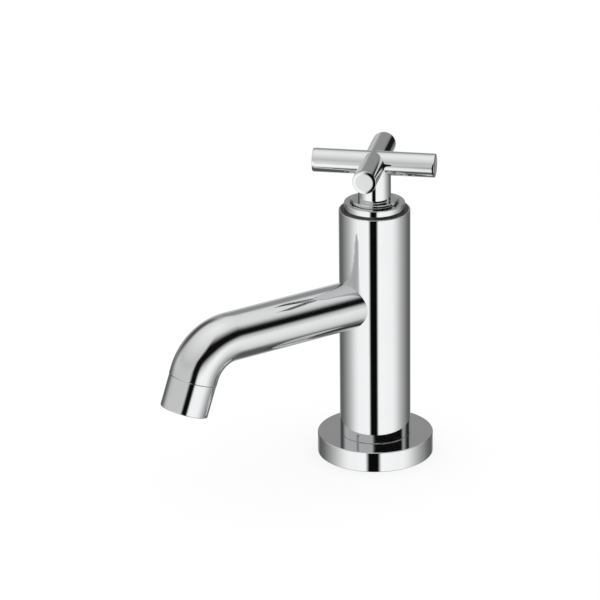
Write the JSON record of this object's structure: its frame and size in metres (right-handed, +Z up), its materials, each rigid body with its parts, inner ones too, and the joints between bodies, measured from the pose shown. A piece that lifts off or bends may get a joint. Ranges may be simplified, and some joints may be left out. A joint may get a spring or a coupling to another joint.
{
  "type": "cross handle tap",
  "caption": "Pillar tap with a round column on a flat base flange, a spout tube that bends down to an aerator, and a quarter-turn cross handle on top.",
  "frame": {"origin": "centre of the base, in the plane of the worktop, on the axis of the column", "axes": "+Z up along the column's axis; the spout points along -Y; +X to the right seen from the spout's side looking along +Y"},
  "size_m": [0.06, 0.159, 0.1645],
  "materials": {
    "chrome": "polished chrome plate on brass",
    "handle_chrome": "polished chrome plate on brass",
    "brass": "turned brass, bare",
    "steel": "stainless steel, drawn",
    "seal_rubber": "black nitrile rubber",
    "base_rubber": "moulded rubber gasket",
    "ceramic": "lapped white alumina",
    "white_plastic": "moulded acetal, white",
    "grey_plastic": "moulded acetal, grey"
  },
  "bodies": {
    "tap_body": {"base_flange": "chrome", "base_gasket": "base_rubber", "foot_o_ring": "seal_rubber", "column_body": "chrome", "riser_pipe": "steel", "riser_o_rings": "seal_rubber", "spout_tube": "chrome", "aerator_housing": "chrome", "aerator_washer": "seal_rubber", "aerator_screen": "steel", "aerator_cartridge": "white_plastic", "aerator_grid": "grey_plastic", "valve_holder": "brass", "holder_o_ring": "seal_rubber", "headwork_gasket": "seal_rubber", "headwork_body": "brass", "seat_seal": "seal_rubber", "fixed_disc": "ceramic", "cover_ring": "chrome", "glide_ring": "white_plastic"},
    "handle": {"moving_disc": "ceramic", "spindle": "brass", "spindle_o_rings": "seal_rubber", "spindle_washer": "white_plastic", "spindle_clip": "steel", "handle_hub": "handle_chrome", "handle_long_rod": "handle_chrome", "handle_short_rods": "handle_chrome", "spline_adaptor": "white_plastic", "grub_screw": "steel"}
  },
  "joints": [
    {"name": "handle_turn", "type": "hinge", "parent": "tap_body", "child": "handle", "pos_m": [0, 0, 0.158], "axis": [0, 0, 1], "range_deg": [0, 90]}
  ]
}
